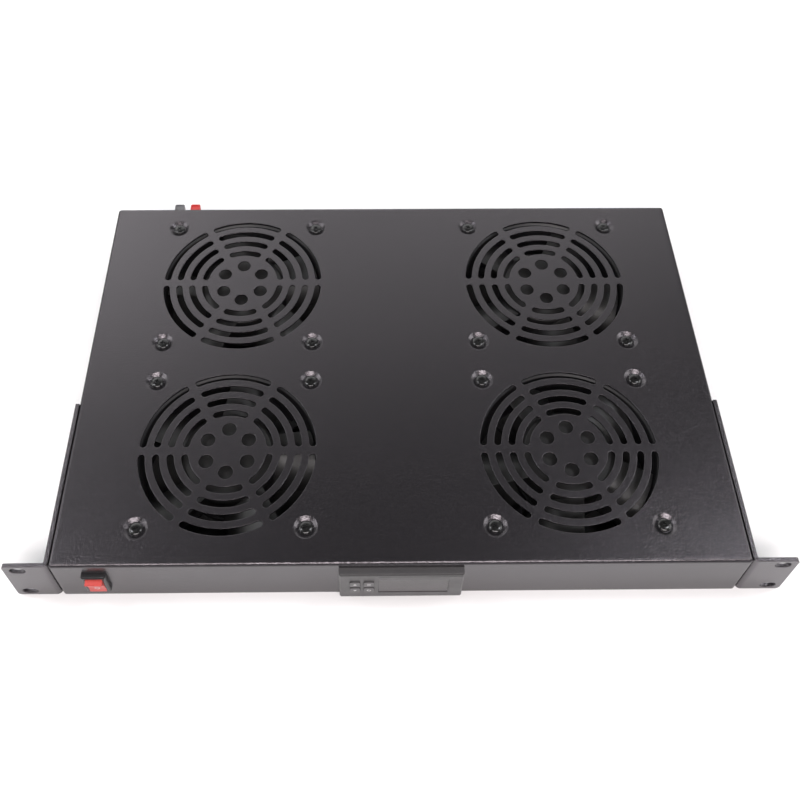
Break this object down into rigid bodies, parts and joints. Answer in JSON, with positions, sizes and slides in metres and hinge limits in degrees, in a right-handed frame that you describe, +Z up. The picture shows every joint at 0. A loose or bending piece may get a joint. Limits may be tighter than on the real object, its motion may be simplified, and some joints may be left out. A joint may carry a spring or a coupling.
{
  "type": "rack fan tray",
  "caption": "Shallow rack-mount tray with a slotted grille over axial fans, a thermostat and rocker switch in front, and a push terminal and power inlet behind.",
  "frame": {"origin": "centre of the rack slot pattern, on the back faces of the ears", "axes": "+X to the right of the front panel, +Y back into the rack, +Z up, with the grille on top"},
  "size_m": [0.4826, 0.3032, 0.0441],
  "materials": {
    "powder_coat": "fine textured black powder coat",
    "black_steel": "black zinc plated steel",
    "zinc_steel": "zinc plated steel",
    "switch_black": "satin",
    "rocker_red": "satin",
    "brass": "tinned brass",
    "bezel_grey": "satin",
    "window_smoke": "smoked window",
    "case_black": "matte",
    "board_green": "matte",
    "key_grey": "satin",
    "terminal_black": "satin",
    "lever_grey": "satin",
    "lever_red": "satin",
    "inlet_black": "satin",
    "fan_black": "matte",
    "rotor_black": "satin"
  },
  "bodies": {
    "tray": {"tray_shell": "powder_coat", "right_bracket": "powder_coat", "left_bracket": "powder_coat", "bracket_screws": "black_steel", "bracket_nuts": "zinc_steel", "fan_screws": "black_steel", "switch_body": "switch_black", "switch_spades": "brass", "thermostat_bezel": "bezel_grey", "thermostat_window": "window_smoke", "thermostat_case": "case_black", "thermostat_board": "board_green", "thermostat_clips": "case_black", "thermostat_connector": "case_black", "terminal_housing": "terminal_black", "terminal_pin": "zinc_steel", "inlet_body": "inlet_black", "inlet_pins": "brass", "inlet_screws": "black_steel", "fan_frame_front_left": "fan_black", "fan_frame_front_right": "fan_black", "fan_frame_back_left": "fan_black", "fan_frame_back_right": "fan_black"},
    "rocker": {"switch_rocker": "rocker_red"},
    "key_up_cap": {"key_up": "key_grey"},
    "key_down_cap": {"key_down": "key_grey"},
    "key_set_cap": {"key_set": "key_grey"},
    "key_power_cap": {"key_power": "key_grey"},
    "grey_lever": {"terminal_lever_grey": "lever_grey"},
    "red_lever": {"terminal_lever_red": "lever_red"},
    "rotor_front_left": {"fan_rotor_front_left": "rotor_black"},
    "rotor_front_right": {"fan_rotor_front_right": "rotor_black"},
    "rotor_back_left": {"fan_rotor_back_left": "rotor_black"},
    "rotor_back_right": {"fan_rotor_back_right": "rotor_black"}
  },
  "joints": [
    {"name": "spin_front_left", "type": "hinge", "parent": "tray", "child": "rotor_front_left", "pos_m": [-0.1112, 0.074, 0], "axis": [0, 0, 1], "continuous": true},
    {"name": "spin_front_right", "type": "hinge", "parent": "tray", "child": "rotor_front_right", "pos_m": [0.1112, 0.074, 0], "axis": [0, 0, 1], "continuous": true},
    {"name": "spin_back_left", "type": "hinge", "parent": "tray", "child": "rotor_back_left", "pos_m": [-0.1112, 0.2106, 0], "axis": [0, 0, 1], "continuous": true},
    {"name": "spin_back_right", "type": "hinge", "parent": "tray", "child": "rotor_back_right", "pos_m": [0.1112, 0.2106, 0], "axis": [0, 0, 1], "continuous": true},
    {"name": "rocker_tilt", "type": "hinge", "parent": "tray", "child": "rocker", "pos_m": [-0.1878, -0.0015, 0], "axis": [1, 0, 0], "range_deg": [-20, 0]},
    {"name": "key_up_press", "type": "slide", "parent": "tray", "child": "key_up_cap", "axis": [0, 1, 0], "range_m": [0, 0.0005], "stiffness_N_per_m": 800, "springref_m": -0.001},
    {"name": "key_down_press", "type": "slide", "parent": "tray", "child": "key_down_cap", "axis": [0, 1, 0], "range_m": [0, 0.0005], "stiffness_N_per_m": 800, "springref_m": -0.001},
    {"name": "key_set_press", "type": "slide", "parent": "tray", "child": "key_set_cap", "axis": [0, 1, 0], "range_m": [0, 0.0005], "stiffness_N_per_m": 800, "springref_m": -0.001},
    {"name": "key_power_press", "type": "slide", "parent": "tray", "child": "key_power_cap", "axis": [0, 1, 0], "range_m": [0, 0.0005], "stiffness_N_per_m": 800, "springref_m": -0.001},
    {"name": "grey_lever_push", "type": "hinge", "parent": "tray", "child": "grey_lever", "pos_m": [-0.1677, 0.2805, 0.0115], "axis": [1, 0, 0], "range_deg": [-12, 0], "stiffness_Nm_per_rad": 0.1, "springref_deg": 11.46},
    {"name": "red_lever_push", "type": "hinge", "parent": "tray", "child": "red_lever", "pos_m": [-0.1553, 0.2805, 0.0115], "axis": [1, 0, 0], "range_deg": [-12, 0], "stiffness_Nm_per_rad": 0.1, "springref_deg": 11.46}
  ]
}
